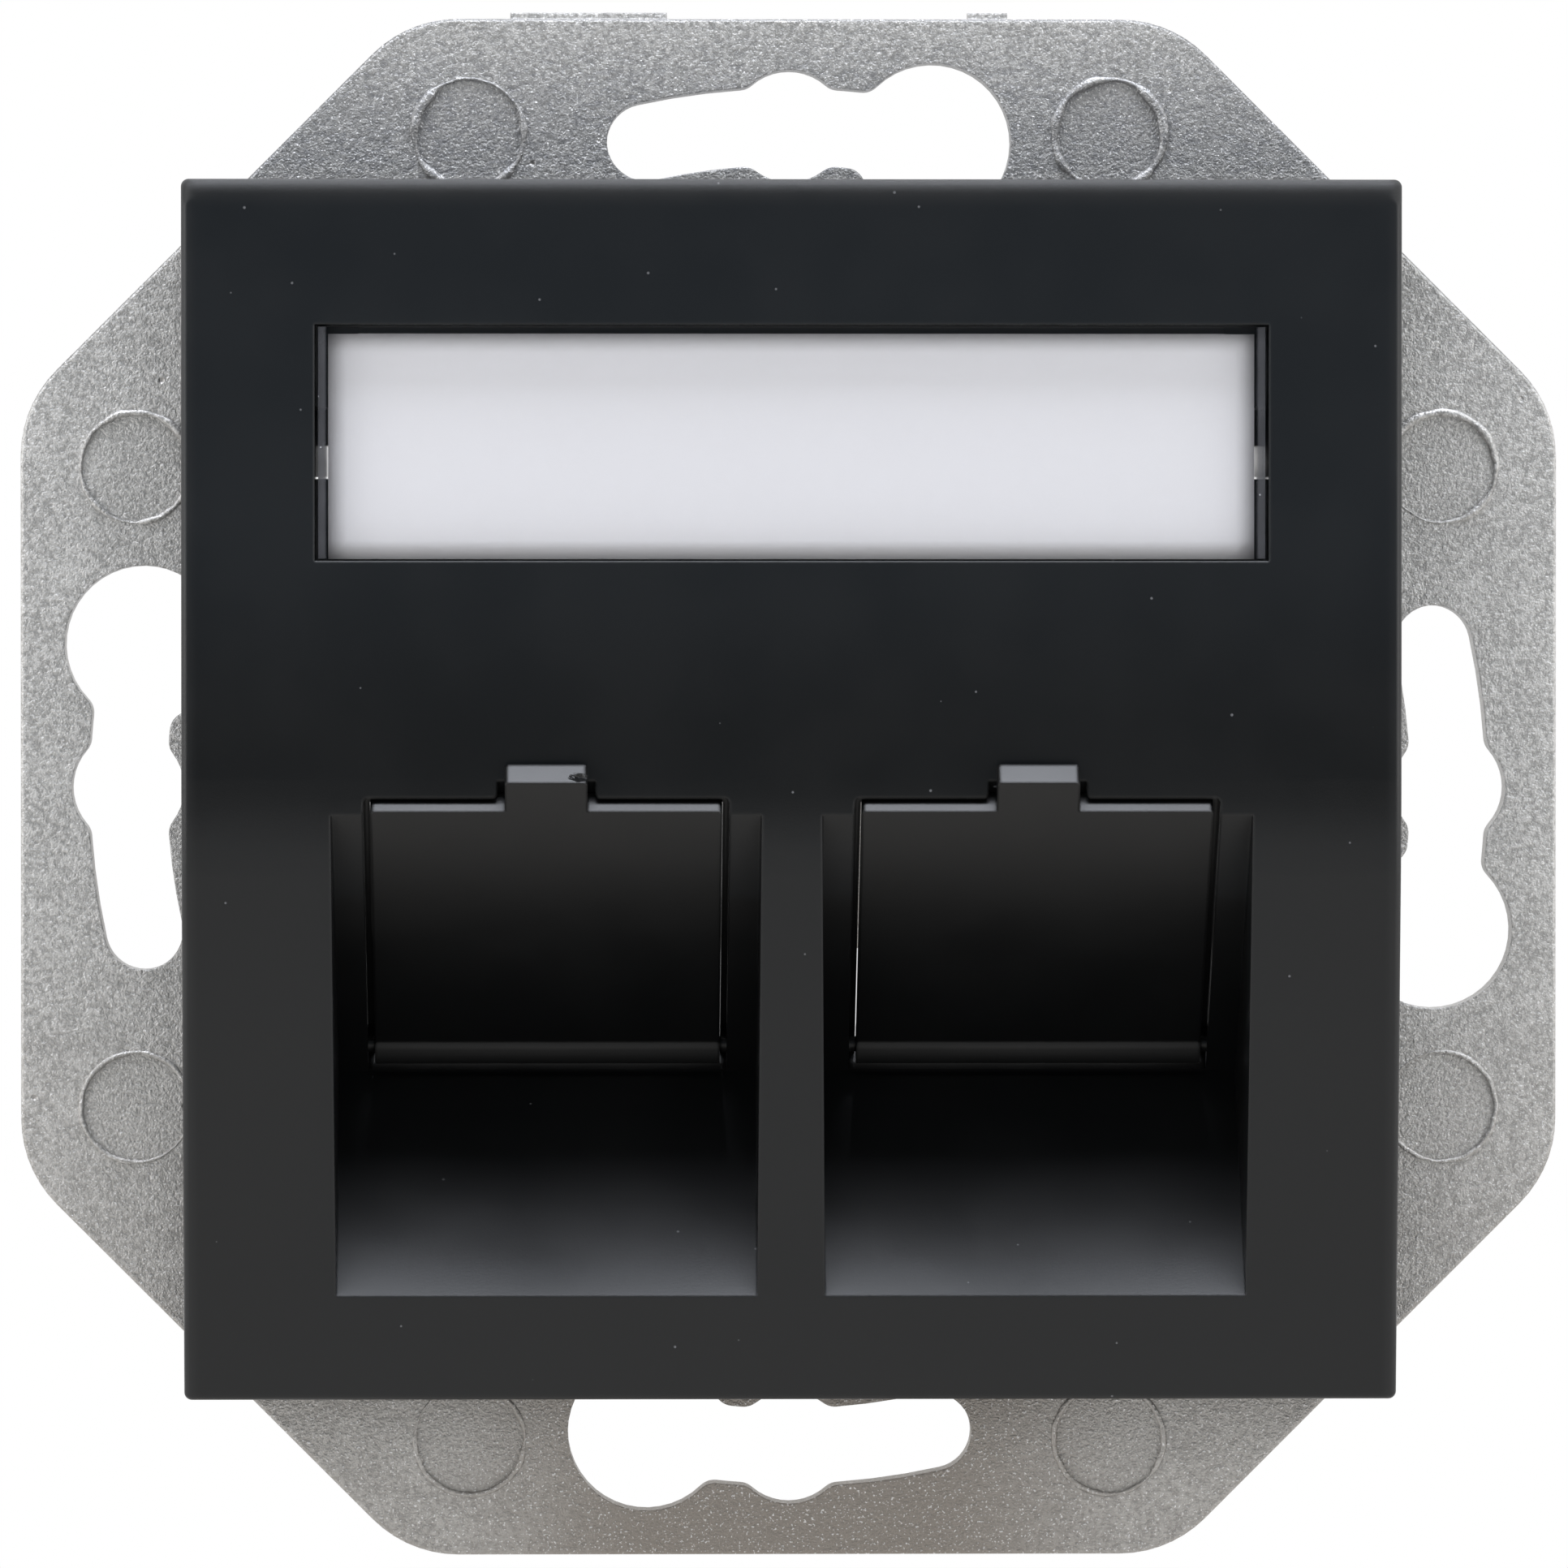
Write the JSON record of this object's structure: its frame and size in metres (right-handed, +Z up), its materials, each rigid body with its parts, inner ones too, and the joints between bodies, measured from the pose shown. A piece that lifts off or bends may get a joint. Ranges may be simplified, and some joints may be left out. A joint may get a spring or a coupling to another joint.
{
  "type": "keystone support ring",
  "caption": "Flush wall-box support ring for slanted keystone modules, with a label field and hinged dust flaps.",
  "frame": {"origin": "centre of the wall-box screw circle, on the flange's back face, where the ring meets the wall", "axes": "-Y out of the wall towards the user, +Z up, +X to the right seen from the front"},
  "size_m": [0.0698, 0.0245, 0.07],
  "materials": {
    "zinc_casting": "raw die-cast",
    "black_moulding": "satin",
    "clear_moulding": "clear",
    "label_paper": "matte"
  },
  "bodies": {
    "base": {"support_ring": "zinc_casting", "central_plate": "black_moulding", "label_window": "clear_moulding", "label_strip": "label_paper"},
    "left_flap": {"dust_flap_left": "black_moulding"},
    "right_flap": {"dust_flap_right": "black_moulding"}
  },
  "joints": [
    {"name": "left_flap_hinge", "type": "hinge", "parent": "base", "child": "left_flap", "pos_m": [-0.011, 0.00231, -0.0118], "axis": [1, 0, 0], "range_deg": [0, 90]},
    {"name": "right_flap_hinge", "type": "hinge", "parent": "base", "child": "right_flap", "pos_m": [0.011, 0.00231, -0.0118], "axis": [1, 0, 0], "range_deg": [0, 90]}
  ]
}
